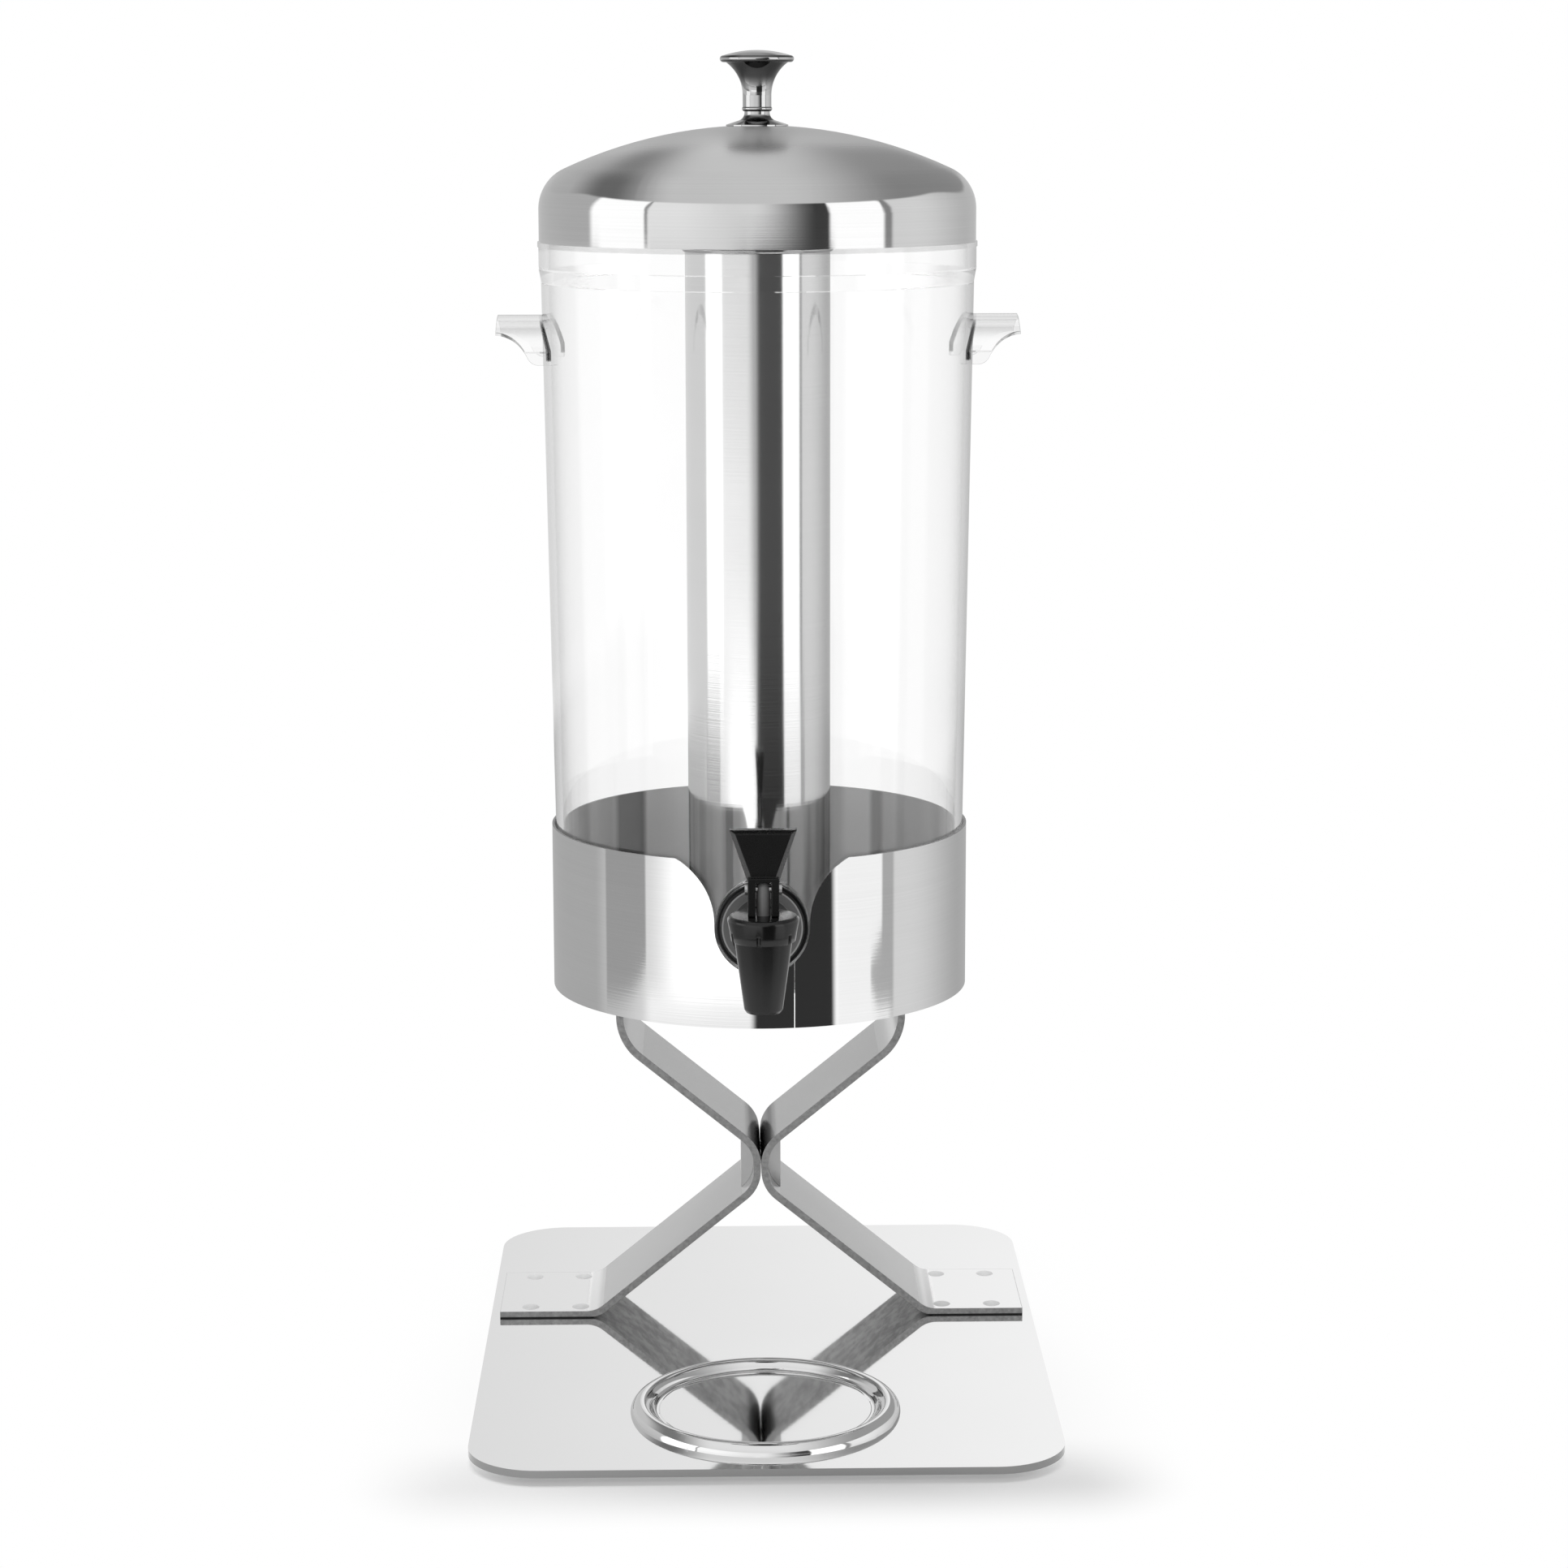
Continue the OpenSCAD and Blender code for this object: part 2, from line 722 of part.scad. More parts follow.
module ice_tube_base() {
  color("silver") on_column() disc(tube_in_r - fit_gap, tube_z + socket_h, tube_z + socket_h + tube_t);
}

// Half the lid's section, drawn in by a sheet thickness. The shoulder is eased outwards a little,
// so that its arc crosses the dome's arc
module lid_section(inset, low) {
  x = lid_shoulder_x;
  z = lid_shoulder_z;
  reach = dome_r / (dome_r - lid_shoulder_r);
  translate([0, low]) square([lid_r - inset, z - low]);
  intersection() {
    translate([x, z]) circle(r = lid_shoulder_r - inset + ease);
    translate([0, z - cut]) square([lid_r - inset, lid_h]);
  }
  intersection() {
    translate([0, dome_z]) circle(r = dome_r - inset, $fn = 360);
    polygon([
      [0, dome_z], [x * reach, dome_z + (z - dome_z) * reach], [x * reach, crown_z + cut],
      [0, crown_z + cut]
    ]);
    translate([0, z]) square([lid_r, lid_h]);
  }
  translate([0, z - cut]) square([x, cut + lid_shoulder_r - inset]);
}

module lid_shell() {
  color("silver") on_column() difference() {
    rotate_extrude() difference() {
      lid_section(0, rim_top);
      lid_section(lid_t, rim_top - cut);
    }
    disc(knob_screw_d / 2 + fit_gap, crown_z - lid_h / 2, crown_z + cut);
  }
}

// Half the knob's section
module knob_section() {
  foot_low = knob_foot_z - cut;
  intersection() {
    translate([0, knob_top - knob_crown_r]) circle(r = knob_crown_r);
    translate([0, knob_edge_z]) square([knob_edge_x, knob_edge_r + knob_crown_h + cut]);
  }
  translate([knob_edge_x, knob_edge_z]) circle(r = knob_edge_r);
  difference() {
    translate([0, knob_neck_z]) square([knob_edge_x, knob_edge_z - knob_neck_z]);
    translate([knob_neck_r + knob_flare_r, knob_neck_z]) circle(r = knob_flare_r);
  }
  translate([0, knob_bead_z]) square([knob_neck_r, knob_neck_z - knob_bead_z]);
  translate([knob_neck_r - 0.8, knob_bead_z]) circle(r = knob_bead_r);
  translate([0, foot_low]) square([knob_waist_r, knob_bead_z - foot_low]);
  difference() {
    translate([0, foot_low]) square([knob_cove_x, knob_cove_z - foot_low]);
    translate([knob_waist_r + knob_cove_r, knob_cove_z]) circle(r = knob_cove_r + ease);
  }
  polygon([
    [0, foot_low], [knob_foot_r, foot_low], [knob_foot_r, knob_foot_top],
    [0, knob_foot_top + knob_foot_r * tan(knob_foot_angle)]
  ]);
}

module lid_knob() {
  color("whitesmoke") on_column() difference() {
    rotate_extrude() difference() {
      knob_section();
      translate([0, dome_z]) circle(r = dome_r + fit_gap, $fn = 360);
    }
    disc(knob_screw_d / 2 + fit_gap, crown_z - cut, crown_z + knob_bore_l);
  }
}

module knob_washer() {
  color("gainsboro") on_column() difference() {
    disc(knob_washer_r, knob_screw_top() - knob_washer_t, knob_screw_top());
    disc(knob_screw_d / 2 + fit_gap, knob_screw_top() - knob_washer_t - cut, knob_screw_top() + cut);
  }
}

// Height where the washer's edge meets the inside of the dome
function knob_screw_top() = dome_z + sqrt(pow(dome_r - lid_t, 2) - pow(knob_washer_r, 2)) - fit_gap;

module knob_screw() {
  head_r = knob_screw_d * 0.9;
  head_h = knob_screw_d * 0.6;
  head_top = knob_screw_top() - knob_washer_t;
  color("gainsboro") on_column() difference() {
    union() {
      disc(knob_screw_d / 2, head_top - cut, crown_z + knob_bore_l - cut);
      disc(head_r, head_top - head_h, head_top);
    }
    translate([-head_r, -knob_screw_d / 10, head_top - head_h - cut])
      cube([2 * head_r, knob_screw_d / 5, head_h / 2 + cut]);
  }
}

// The spout and the valve's chamber, turned about the spout's axis
module barrel() {
  rotate_extrude() polygon([
    [outlet_r, spout_end_z], [spout_end_r - 0.8, spout_end_z], [spout_end_r, spout_end_z + 1.2],
    [spout_top_r, bonnet_z], [thread_r, bonnet_z], [thread_r, barrel_top],
    [chamber_r, barrel_top], [chamber_r, chamber_z], [outlet_r, seat_z]
  ]);
}

module tap_body() {
  rim_w = 1.6;
  rim_step = 0.8;
  color([0.09, 0.09, 0.1]) on_column() difference() {
    union() {
      tap_disc(shank_r, shank_end, flange_back + cut);
      tap_disc(tap_flange_r, flange_back, flange_front - rim_step);
      tap_disc(tap_flange_r - rim_w, flange_back, flange_front);
      tap_disc(hub_r, flange_back, hub_front);
      difference() {
        tap_disc(neck_r, hub_front - cut, spout_reach, neck_z);
        translate([0, -spout_reach, 0]) disc(chamber_r + cut, spout_end_z, bonnet_top);
      }
      translate([0, -spout_reach, 0]) barrel();
    }
    tap_disc(shank_bore_r, shank_end - cut, hub_front - 3);
    tap_disc(neck_bore_r, flange_front, spout_reach, neck_z);
  }
}

module tap_bonnet() {
  inner_r = thread_r + fit_gap;
  top_edge = 1.2;
  band_z = bonnet_z + bonnet_skirt_h;
  rib_t = 0.9;
  color([0.09, 0.09, 0.1]) on_column() translate([0, -spout_reach, 0]) {
    rotate_extrude() polygon([
      [inner_r, bonnet_z], [bonnet_skirt_r, bonnet_z], [bonnet_skirt_r, band_z],
      [bonnet_r, band_z + bonnet_r - bonnet_skirt_r], [bonnet_r, bonnet_top - top_edge],
      [bonnet_r - top_edge, bonnet_top], [stem_r + run_gap, bonnet_top],
      [stem_r + run_gap, bonnet_top - bonnet_lid_t], [inner_r, bonnet_top - bonnet_lid_t]
    ]);
    for (i = [0:bonnet_ribs - 1])
      rotate(360 * (i + 0.5) / bonnet_ribs) translate([inner_r + bonnet_wall / 2, -rib_t / 2, bonnet_z])
        cube([bonnet_r - inner_r - bonnet_wall, rib_t, band_z - bonnet_z + bonnet_wall]);
  }
}

module outer_gasket() {
  color([0.16, 0.16, 0.17]) on_column() difference() {
    tap_disc(tap_flange_r, boss_out, flange_back);
    tap_disc(shank_r + fit_gap, boss_out - cut, flange_back + cut);
  }
}

module inner_gasket() {
  color("lightgray") on_column() difference() {
    tap_disc(nut_r, nut_front, boss_in);
    tap_disc(shank_r + fit_gap, nut_front - cut, boss_in + cut);
  }
}

module tap_nut() {
  color([0.09, 0.09, 0.1]) on_column() difference() {
    translate([0, nut_l - nut_front, tap_z]) rotate([90, 0, 0]) cylinder(r = nut_r, h = nut_l, $fn = 6);
    tap_disc(shank_r + fit_gap, nut_front - nut_l - cut, nut_front + cut);
  }
}

// The silicone disc under the bonnet, with a round fold that lets its middle rise
module valve_diaphragm() {
  disc_z = barrel_top + fit_gap;
  disc_t = bonnet_top - bonnet_lid_t - disc_z - fit_gap;
  fold_x = (stem_r + chamber_r) / 2;
  color("lightgray") on_column() translate([0, -spout_reach, 0]) rotate_extrude() {
    translate([stem_r + run_gap, disc_z]) square([thread_r - fit_gap - stem_r - run_gap, disc_t]);
    intersection() {
      translate([fold_x, disc_z]) circle(r = disc_t);
      translate([0, disc_z - disc_t - cut]) square([thread_r, disc_t + 2 * cut]);
    }
  }
}

module valve_stem() {
  color("gray") on_column() translate([0, -spout_reach, 0]) difference() {
    union() {
      disc(stem_r, chamber_z + rest_gap, stem_top - stem_r);
      translate([0, 0, stem_top - stem_r]) sphere(r = stem_r);
    }
    translate([-stem_r - cut, 0, pin_z]) rotate([0, 90, 0])
      cylinder(d = pin_d + 2 * fit_gap, h = 2 * (stem_r + cut));
  }
}

// The silicone plug on the stem's end, resting over the cone of the seat
module valve_plug() {
  plug_r = chamber_r - 2 * rest_gap;
  tip_r = outlet_r - rest_gap;
  tip_z = seat_z + rest_gap;
  cone_top = tip_z + plug_r - tip_r;
  color("lightgray") on_column() translate([0, -spout_reach, 0]) difference() {
    rotate_extrude() polygon([
      [0, tip_z], [tip_r, tip_z], [plug_r, cone_top], [plug_r, cone_top + 2],
      [stem_r + 1.6, cone_top + 4], [0, cone_top + 4]
    ]);
    disc(stem_r + fit_gap, chamber_z + rest_gap - fit_gap, stem_top);
  }
}

module lever_pin() {
  half = fork_w / 2 + run_gap;
  color("gray") on_column() translate([0, -spout_reach, pin_z]) rotate([0, 90, 0]) {
    disc(pin_d / 2, -half, half);
    disc(pin_head_d / 2, half, half + pin_head_t);
    disc(pin_head_d / 2, -half - pin_head_t, -half);
  }
}

// The paddle's outline at some depth of its bevel
module paddle_outline(side, top) {
  low = pin_z + pin_head_d / 2 + rest_gap;
  high = pin_z + lever_h;
  polygon([
    [-fork_w / 2 + side, low], [-lever_w / 2 + side, high - top],
    [lever_w / 2 - side, high - top], [fork_w / 2 - side, low]
  ]);
}

module tap_lever() {
  bevel_t = paddle_t / 3;
  color([0.07, 0.07, 0.08]) on_column() translate([0, -spout_reach, 0]) difference() {
    union() {
      translate([-fork_w / 2, -fork_d / 2, fork_low]) cube([fork_w, fork_d, fork_top - fork_low]);
      hull() {
        translate([0, paddle_t / 2, 0]) rotate([90, 0, 0])
          linear_extrude(paddle_t - bevel_t) paddle_outline(0, 0);
        translate([0, bevel_t - paddle_t / 2, 0]) rotate([90, 0, 0])
          linear_extrude(bevel_t) paddle_outline(bevel_side, bevel_top);
      }
    }
    translate([-fork_slot_w / 2, -fork_d, fork_low - cut])
      cube([fork_slot_w, 2 * fork_d, fork_slot_top - fork_low + cut]);
    translate([-fork_w, 0, pin_z]) rotate([0, 90, 0])
      cylinder(d = pin_d + 2 * run_gap, h = 2 * fork_w);
  }
}

base_plate();
rubber_feet();
left_leg();
right_leg();
foot_rivets();
left_clamp_block();
right_clamp_block();
clamp_screws();
collar_floor();
collar();
flange_rivets();
drip_dish();
container();
tube_spigot();
left_handle();
right_handle();
ice_tube();
ice_tube_base();
lid_shell();
lid_knob();
knob_screw();
knob_washer();
tap_body();
tap_bonnet();
outer_gasket();
inner_gasket();
tap_nut();
valve_diaphragm();
valve_stem();
valve_plug();
lever_pin();
tap_lever();
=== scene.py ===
# %% [markdown]
# # A juice dispenser, dressed for its picture
# The solids of this dispenser come in as a fixed frame, in metres. Their shapes are right, so most
# of the work here is what a product photographer and a finisher would do: give every sheet, bar
# and moulding its own finish, and build a bright studio whose dimmer parts draw the dark bands that
# make polished steel look like steel.

# %% Load the frame
import math

import bmesh
import bpy
from mathutils import Matrix, Vector


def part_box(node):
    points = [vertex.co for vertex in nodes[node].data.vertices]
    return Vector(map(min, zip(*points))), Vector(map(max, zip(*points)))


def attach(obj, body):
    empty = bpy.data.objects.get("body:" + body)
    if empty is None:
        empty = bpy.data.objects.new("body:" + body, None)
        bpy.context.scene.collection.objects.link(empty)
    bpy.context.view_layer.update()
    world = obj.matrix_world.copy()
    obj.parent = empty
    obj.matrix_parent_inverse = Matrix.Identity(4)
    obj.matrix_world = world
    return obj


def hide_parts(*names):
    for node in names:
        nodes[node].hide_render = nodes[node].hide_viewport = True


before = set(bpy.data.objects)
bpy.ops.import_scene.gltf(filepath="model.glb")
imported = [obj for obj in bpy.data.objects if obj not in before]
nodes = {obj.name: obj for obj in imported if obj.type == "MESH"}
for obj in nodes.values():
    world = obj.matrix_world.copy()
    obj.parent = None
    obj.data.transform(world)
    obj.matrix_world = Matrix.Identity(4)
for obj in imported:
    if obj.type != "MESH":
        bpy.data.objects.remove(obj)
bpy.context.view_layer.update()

# %% [markdown]
# ## Writing shader maths as sums
# A finish is a small network of nodes. Wiring it by hand hides the idea, so one class wraps an
# output socket and lets Python's own operators add the Math nodes.

# %% The socket class
class Value:
    """An output socket that can stand in a Python sum."""

    def __init__(self, finish, socket):
        self.finish = finish
        self.socket = socket

    def math(self, operation, *terms):
        return self.finish.add("ShaderNodeMath", {"operation": operation}, dict(enumerate(terms)))

    def __add__(self, other):
        return self.math("ADD", self, other)

    def __radd__(self, other):
        return self.math("ADD", other, self)

    def __sub__(self, other):
        return self.math("SUBTRACT", self, other)

    def __rsub__(self, other):
        return self.math("SUBTRACT", other, self)

    def __mul__(self, other):
        return self.math("MULTIPLY", self, other)

    def __rmul__(self, other):
        return self.math("MULTIPLY", other, self)

    def __truediv__(self, other):
        return self.math("DIVIDE", self, other)

    def __pow__(self, other):
        return self.math("POWER", self, other)

    def larger(self, other):
        return self.math("MAXIMUM", self, other)

    def size(self):
        """The value without its sign."""
        return self.math("ABSOLUTE", self)

    def step(self, low, high):
        """0 below low, 1 above high, and a soft slope between them."""
        return self.finish.add(
            "ShaderNodeMapRange",
            {"interpolation_type": "SMOOTHSTEP"},
            {"Value": self, "From Min": low, "From Max": high},
        )

    def band(self, low, high, soft):
        """1 between low and high, fading to 0 over a soft edge on each side."""
        return self.step(low - soft, low + soft) - self.step(high - soft, high + soft)


def length(across, along):
    return (across * across + along * along) ** 0.5


def over(below, mask, tone):
    """Paint a tone over what lies below it, where the mask is 1."""
    return below + mask * (tone - below)


print("socket class ready")

# %% [markdown]
# Every other node comes from one method, which sets the node's own settings first and then its
# sockets. The rest of the class gives short names to the nodes that the finishes use most.

# %% The finish class
class Finish:
    """A node tree, of a material or of the world, that is filled one node at a time."""

    def __init__(self, owner):
        owner.use_nodes = True
        self.owner = owner
        self.tree = owner.node_tree
        self.tree.nodes.clear()

    def add(self, kind, settings=None, sockets=None, out=0):
        node = self.tree.nodes.new(kind)
        for name, value in (settings or {}).items():
            setattr(node, name, value)
        for name, value in (sockets or {}).items():
            if isinstance(value, Value):
                self.tree.links.new(value.socket, node.inputs[name])
            else:
                node.inputs[name].default_value = value
        return Value(self, node.outputs[out] if len(node.outputs) else None)

    def parts(self, vector):
        """The X, Y and Z of a vector socket."""
        split = self.add("ShaderNodeSeparateXYZ", {}, {0: vector})
        return [Value(self, out) for out in split.socket.node.outputs]

    def vector(self, x, y, z):
        return self.add("ShaderNodeCombineXYZ", {}, {0: x, 1: y, 2: z})

    def noise(self, vector, scale=1.0, detail=2.0, roughness=0.5):
        sockets = {"Vector": vector, "Scale": scale, "Detail": detail, "Roughness": roughness}
        return self.add("ShaderNodeTexNoise", {}, sockets)

    def blend(self, factor, low, high):
        """A colour that goes from low to high. Each end is a grey or another blend."""
        ends = [end if isinstance(end, Value) else grey(end) for end in (low, high)]
        sockets = {"Factor": factor, 6: ends[0], 7: ends[1]}
        return self.add("ShaderNodeMix", {"data_type": "RGBA"}, sockets, out=2)

    def bump(self, height, strength, depth, edge=0.0):
        """Fine relief, on top of edges that look rounded by a radius if one is given."""
        sockets = {"Height": height, "Strength": strength, "Distance": depth}
        if edge:
            sockets["Normal"] = self.add("ShaderNodeBevel", {"samples": 6}, {"Radius": edge})
        return self.add("ShaderNodeBump", {}, sockets)

    def principled(self, **sockets):
        """The Principled shader, with underscores in place of its sockets' spaces."""
        named = {name.replace("_", " "): value for name, value in sockets.items()}
        return self.add("ShaderNodeBsdfPrincipled", {}, named)

    def see_through(self, level):
        return self.add("ShaderNodeBsdfTransparent", {}, {"Color": grey(level)})

    def mixed(self, factor, first, second):
        return self.add("ShaderNodeMixShader", {}, {0: factor, 1: first, 2: second})

    def finished(self, shader):
        self.add("ShaderNodeOutputMaterial", {}, {"Surface": shader})
        return self.owner


def grey(level):
    return (level, level, level, 1.0)


def new_finish(name):
    """A new material's finish, its object-space place, and that place's X, Y and Z."""
    finish = Finish(bpy.data.materials.new(name))
    place = finish.add("ShaderNodeTexCoord", {}, {}, out="Object")
    return finish, place, finish.parts(place)


def facing(finish):
    """The X, Y and Z of the way a face looks."""
    return finish.parts(finish.add("ShaderNodeTexCoord", {}, {}, out="Normal"))


print("finish class ready")

# %% [markdown]
# ## The camera
# The picture was taken from a little above the lid and about a metre and a half away, with a long
# lens. The place and the angles were found by matching the plate, the collar and the lid with the
# picture, so no lens shift is needed. The camera is turned by its three axes, which are worked out
# from the angles one after the other.

# %% Camera
frame_px = 1932
focal_px = 4601.0
camera_place = Vector((-0.01902, -1.50213, 0.51778))
yaw, pitch, roll = 0.0190, 0.1823, -0.0019

level_ahead = Vector((math.sin(yaw), math.cos(yaw), 0.0))
ahead = math.cos(pitch) * level_ahead - Vector((0.0, 0.0, math.sin(pitch)))
level = Vector((math.cos(yaw), -math.sin(yaw), 0.0))
upward = level.cross(ahead)
right = math.cos(roll) * level + math.sin(roll) * upward
top = math.cos(roll) * upward - math.sin(roll) * level

lens = bpy.data.cameras.new("camera")
lens.sensor_width = 36.0
lens.lens = focal_px / frame_px * lens.sensor_width
camera = bpy.data.objects.new("camera", lens)
camera_turn = Matrix((right, top, -ahead)).transposed().to_4x4()
camera.matrix_world = Matrix.Translation(camera_place) @ camera_turn
bpy.context.scene.collection.objects.link(camera)
bpy.context.scene.camera = camera
print("lens", round(lens.lens, 2), "mm")

# %% [markdown]
# ## Inside of the collar
# No polishing wheel reaches into the collar, so its inside is dull. What it would mirror is painted
# into its colour as painted reflections: the container's foot as upright streaks, and darker bands
# beside the tap. Their places along X were read off the picture, because a dull sheet mirrors too
# softly to draw them.

# %% Painted reflections: streaks and dark bands
left_reflected_band, left_reflected_end = (-0.0640, -0.0510), (-0.0660, -0.0630)
right_reflected_band, right_reflected_end = (0.0515, 0.0565), (0.0550, 0.0580)
reflected_band_soft = 0.0015
streak_across, streak_along = 26.0, 2.0


# Painted reflections: light and dark upright streaks, and dark bands at fixed places along X.
def collar_inside_reflections(finish, x, y, z):
    drawn_out = finish.vector(x * streak_across, y * streak_across, z * streak_along)
    streaks = finish.noise(drawn_out, detail=2.0, roughness=0.6).step(0.35, 0.62)
    left = x.band(*left_reflected_band, reflected_band_soft) + 0.45 * (1 - x.step(*left_reflected_end))
    right = 0.75 * x.band(*right_reflected_band, reflected_band_soft) + 0.15 * x.step(*right_reflected_end)
    return finish.blend(left + right, finish.blend(streaks, 0.50, 1.0), 0.02)


print("reflected_bands from", left_reflected_band[0], "to", right_reflected_end[1], "m")

# %% [markdown]
# ## Turned and rolled steel
# The lid, the collar, the knob and the ice tube were polished while they turned, so their finest
# marks run round the column's axis. A picture of scratches would have to be wrapped round each
# piece. A noise that changes fast across the marks and slowly along them needs no wrapping, and it
# feeds the roughness, the tone and a very shallow bump. The dome keeps more of its spinning marks
# than the skirt, most of all at the crown. On the knob and at the collar's rims, faces that tilt
# out of the upright get painted shade. The collar's inside takes its colour from the painted
# reflections above.

# %% Polished steel with round grain
column_y = 0.052
along_marks, across_marks = 5.0, 1400.0
mark_depth = 0.0002
crown_ring = (0.025, 0.065)


def turned_steel(name, tone, rough, grain, top_rough=0.0, shade=0.0, matt_inside=0.0):
    finish, place, (x, y, z) = new_finish(name)
    look_x, look_y, look_z = facing(finish)
    from_axis = y - column_y
    radius = length(x, from_axis)
    round_axis = finish.vector(x * along_marks, y * along_marks, (z - radius) * across_marks)
    marks = finish.noise(round_axis, detail=3.0, roughness=0.6)
    clouds = finish.noise(place, scale=22.0)
    outward = (x * look_x + from_axis * look_y) / radius
    inside = matt_inside * (0.0 - outward).step(0.2, 0.6)
    on_top = look_z.step(0.55, 0.90) * (1 + 1.3 * (1 - radius.step(*crown_ring)))
    # Painted shade on faces that tilt out of the upright.
    tilted = shade * look_z.size().step(0.15, 0.50)
    brushed = finish.blend(0.5 * clouds + 0.5 * marks, tone - 0.07, tone + 0.06)
    polished = finish.blend(tilted, brushed, 0.05)
    gloss = rough * (0.55 + 0.5 * marks + 0.4 * clouds)
    return finish.finished(finish.principled(
        Base_Color=finish.blend(inside, polished, collar_inside_reflections(finish, x, y, z)),
        Metallic=1 - inside,
        Roughness=gloss + top_rough * on_top + 0.35 * inside,
        Normal=finish.bump(marks, grain, mark_depth),
        Specular_IOR_Level=0.15,
    ))


lid_steel = turned_steel("lid_steel", tone=0.63, rough=0.05, grain=0.008, top_rough=0.18)
collar_steel = turned_steel(
    "collar_steel", tone=0.80, rough=0.04, grain=0.010, shade=0.90, matt_inside=0.90)
floor_steel = turned_steel("floor_steel", tone=0.80, rough=0.35, grain=0.04)
tube_steel = turned_steel("tube_steel", tone=0.80, rough=0.10, grain=0.04)
knob_chrome = turned_steel("knob_chrome", tone=0.52, rough=0.04, grain=0.01, shade=0.85)
print("turned steels ready")

# %% [markdown]
# ## Mirror steel
# The plate and the dish are polished flat until they mirror the legs. A plain mirror shader would
# do that, but it looks like glass, so a trace of cloudiness and a few hair-fine wiping marks go
# into the roughness. Faces that look sideways, such as the plate's cut edge, are darker.

# %% Mirror-polished plate
along_wipes, across_wipes = 9.0, 420.0
wipe_depth = 0.0002


def mirror_steel(name, tone, edge_tone):
    finish, place, (x, y, z) = new_finish(name)
    edge = 1 - facing(finish)[2].size().step(0.3, 0.7)
    wiped = finish.vector(x * along_wipes, y * across_wipes, z * along_wipes)
    wipes = finish.noise(wiped, detail=3.0, roughness=0.55)
    clouds = finish.noise(place, scale=9.0, detail=3.0)
    face = finish.blend(clouds, tone - 0.03, tone + 0.02)
    return finish.finished(finish.principled(
        Base_Color=finish.blend(edge, face, edge_tone),
        Metallic=1.0,
        Roughness=0.02 + 0.05 * clouds * clouds + 0.03 * wipes,
        Normal=finish.bump(wipes, 0.012, wipe_depth),
    ))


plate_mirror = mirror_steel("plate_mirror", tone=0.90, edge_tone=0.35)
dish_mirror = mirror_steel("dish_mirror", tone=0.88, edge_tone=0.80)
print("mirror steels ready")

# %% [markdown]
# ## Bar steel
# The legs are flat bar. The faces that look up were polished with the plate and are glossier, and
# their level tops are painted lighter than the slopes: painted light. The undersides are rougher
# and spotted, and painted darker: painted shade. The narrow edges show the mottled break of the
# shear. Three materials could be given out face by face. One that asks which way a face looks does
# the same, and goes softly round the bends. Two places get painted shade: the crevice at the waist,
# where the bars meet, and the line where a foot sits on the plate.

# %% Bar with painted light on its tops, painted shade on its undersides, and sheared edges
plate_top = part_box("base_plate")[1][2]
foot_gap = (plate_top + 0.0004, plate_top + 0.0008)
waist_reach = (0.0035, 0.0075)
along_brush, across_brush = 16.0, 900.0
brush_depth, bar_corner = 0.0002, 0.0004


def bar_steel(name, bright, underside_shade_tone):
    finish, place, (x, y, z) = new_finish(name)
    outward, across, above = facing(finish)
    edge = across.size().step(0.7, 0.95)
    under = (0.0 - above).step(0.05, 0.45)
    level_top = above.step(0.80, 0.95)
    bend = above.step(0.76, 0.80) - above.step(0.997, 0.9999)
    inward = (0.0 - x * outward / x.size()).step(0.05, 0.30)
    # Painted shade in the crevice where the two bars meet at the waist.
    waist_painted_shade = inward * (1 - x.size().step(*waist_reach))
    # Painted shade along the line where a foot sits on the plate.
    foot_painted_shade = 1 - z.step(*foot_gap)

    brushed = finish.vector(x * along_brush, y * across_brush, z * along_brush)
    brush = finish.noise(brushed, detail=3.0, roughness=0.6)
    mottle = finish.noise(place, scale=700.0, detail=3.0, roughness=0.65)
    spots = finish.noise(place, scale=150.0, detail=4.0, roughness=0.7)
    clouds = finish.noise(place, scale=30.0, detail=3.0)

    slope = finish.blend(clouds, bright - 0.05, bright + 0.04)
    # Painted light: level tops are lighter than the sloping arms.
    top = finish.blend(level_top, slope, 0.90)
    # Painted shade: faces that look down are darker, with spots.
    shaded_underside = finish.blend(spots.step(0.35, 0.65), underside_shade_tone - 0.09, underside_shade_tone + 0.09)
    sheared = finish.blend(foot_painted_shade, finish.blend(mottle, 0.14, 0.50), 0.03)
    faces = finish.blend(waist_painted_shade, finish.blend(under, top, shaded_underside), 0.02)
    gloss = (0.14 + 0.08 * brush + 0.06 * clouds) * (1 - 0.6 * level_top)
    relief = brush * (1 - edge) + mottle * edge * 2.0
    return finish.finished(finish.principled(
        Base_Color=finish.blend(edge, faces, sheared),
        Metallic=1 - 0.7 * bend,
        Roughness=gloss + 0.30 * edge + 0.16 * under,
        Normal=finish.bump(relief, 0.10, brush_depth, edge=bar_corner),
    ))


leg_steel = bar_steel("leg_steel", bright=0.70, underside_shade_tone=0.27)
print("bar steel ready")

# %% [markdown]
# ## Small steel parts
# Rivets, screws, the pin, washers and the clamp blocks are machined or pressed. They are too small
# for a grain with a direction to show, so they get a plain satin with fine random marks.

# %% Satin fasteners
def satin_steel(name, tone, rough, metal=1.0):
    finish, place, _ = new_finish(name)
    marks = finish.noise(place, scale=900.0, roughness=0.6)
    clouds = finish.noise(place, scale=60.0)
    return finish.finished(finish.principled(
        Base_Color=finish.blend(clouds, tone - 0.06, tone + 0.05),
        Metallic=metal,
        Roughness=rough + 0.12 * marks,
        Normal=finish.bump(marks, 0.08, 0.0001),
    ))


